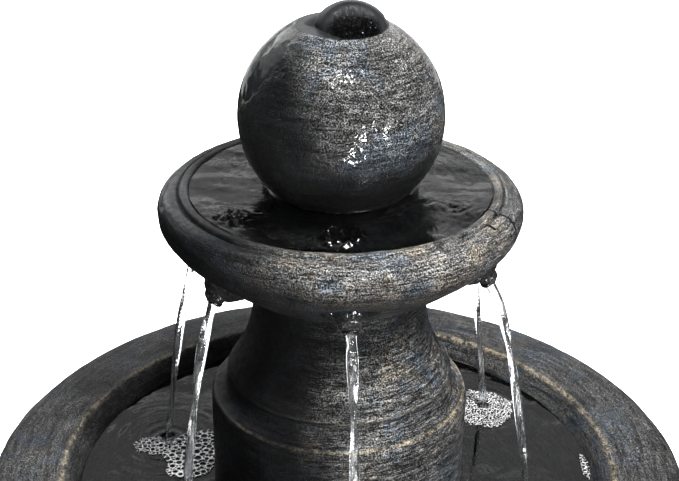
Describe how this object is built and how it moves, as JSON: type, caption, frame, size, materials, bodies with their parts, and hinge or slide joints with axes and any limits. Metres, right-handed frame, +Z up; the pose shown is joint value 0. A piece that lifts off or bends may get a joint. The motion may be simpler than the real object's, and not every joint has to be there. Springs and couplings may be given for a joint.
{
  "type": "tiered water fountain",
  "caption": "Free-standing garden fountain: wide lower basin on a pedestal, hollow column, round-edged upper bowl with spouts, and a ball that overflows from its top.",
  "frame": {"origin": "on the ground, under the middle of the pedestal", "axes": "+Z up along the common axis of every turned piece; -Y is the front, which one spout nearly faces; +Y is the back, with the cord notch and the pump's motor"},
  "size_m": [0.61, 0.61, 0.7598],
  "materials": {
    "cast_stone": "charcoal cast stone with a fine speckle, brushed blue-grey and bronze highlights, satin and wet",
    "spout_stone": "dark wet cast stone, slightly glossy",
    "black_rubber": "matt black moulded rubber",
    "clear_hose": "clear flexible vinyl",
    "grey_pipe": "grey extruded pipe, satin",
    "pump_plastic": "black moulded plastic, fine spark texture",
    "dial_plastic": "blue moulded plastic",
    "rotor_ferrite": "dark ground ferrite",
    "impeller_plastic": "off-white moulded plastic",
    "ceramic_shaft": "ground white ceramic",
    "clamp_steel": "bright brushed steel band"
  },
  "bodies": {
    "stand": {"pedestal": "cast_stone"},
    "lower_tier": {"lower_bowl": "cast_stone", "cord_grommet": "black_rubber", "pump_housing": "pump_plastic", "pump_chamber": "pump_plastic", "outlet_adapter": "pump_plastic", "impeller_shaft": "ceramic_shaft", "shaft_bush_front": "black_rubber", "shaft_bush_rear": "black_rubber", "pump_cord_gland": "pump_plastic", "suction_cup_1": "black_rubber", "suction_cup_2": "black_rubber", "suction_cup_3": "black_rubber", "suction_cup_4": "black_rubber"},
    "drain_plug": {"drain_plug": "black_rubber"},
    "column": {"column": "cast_stone"},
    "upper_tier": {"upper_bowl": "cast_stone", "spout_1": "spout_stone", "spout_2": "spout_stone", "spout_3": "spout_stone", "spout_4": "spout_stone", "spout_5": "spout_stone", "spout_6": "spout_stone", "bulkhead_fitting": "pump_plastic", "bulkhead_gasket": "black_rubber", "bulkhead_nut": "pump_plastic", "ball_pipe": "grey_pipe", "riser_hose": "clear_hose", "hose_clamp": "clamp_steel"},
    "ball": {"ball": "cast_stone", "crater_collar": "black_rubber"},
    "intake_cover": {"intake_cover": "pump_plastic"},
    "flow_dial": {"flow_dial": "dial_plastic"},
    "rotor": {"impeller": "impeller_plastic", "rotor_magnet": "rotor_ferrite"}
  },
  "joints": [
    {"name": "lower_bowl_lift", "type": "slide", "parent": "stand", "child": "lower_tier", "axis": [0, 0, 1], "range_m": [0, 0.04]},
    {"name": "column_lift", "type": "slide", "parent": "lower_tier", "child": "column", "axis": [0, 0, 1], "range_m": [0, 0.12]},
    {"name": "upper_bowl_lift", "type": "slide", "parent": "column", "child": "upper_tier", "axis": [0, 0, 1], "range_m": [0, 0.24]},
    {"name": "ball_lift", "type": "slide", "parent": "upper_tier", "child": "ball", "axis": [0, 0, 1], "range_m": [0, 0.16]},
    {"name": "drain_plug_pull", "type": "slide", "parent": "lower_tier", "child": "drain_plug", "axis": [0, 0, 1], "range_m": [0, 0.03]},
    {"name": "cover_slide", "type": "slide", "parent": "lower_tier", "child": "intake_cover", "axis": [0, -1, 0], "range_m": [0, 0.018]},
    {"name": "flow_dial_turn", "type": "hinge", "parent": "intake_cover", "child": "flow_dial", "pos_m": [0, -0.026, 0.307], "axis": [0, 0, 1], "range_deg": [0, 120]},
    {"name": "impeller_spin", "type": "hinge", "parent": "lower_tier", "child": "rotor", "pos_m": [0, 0, 0.283], "axis": [0, -1, 0], "continuous": true}
  ]
}
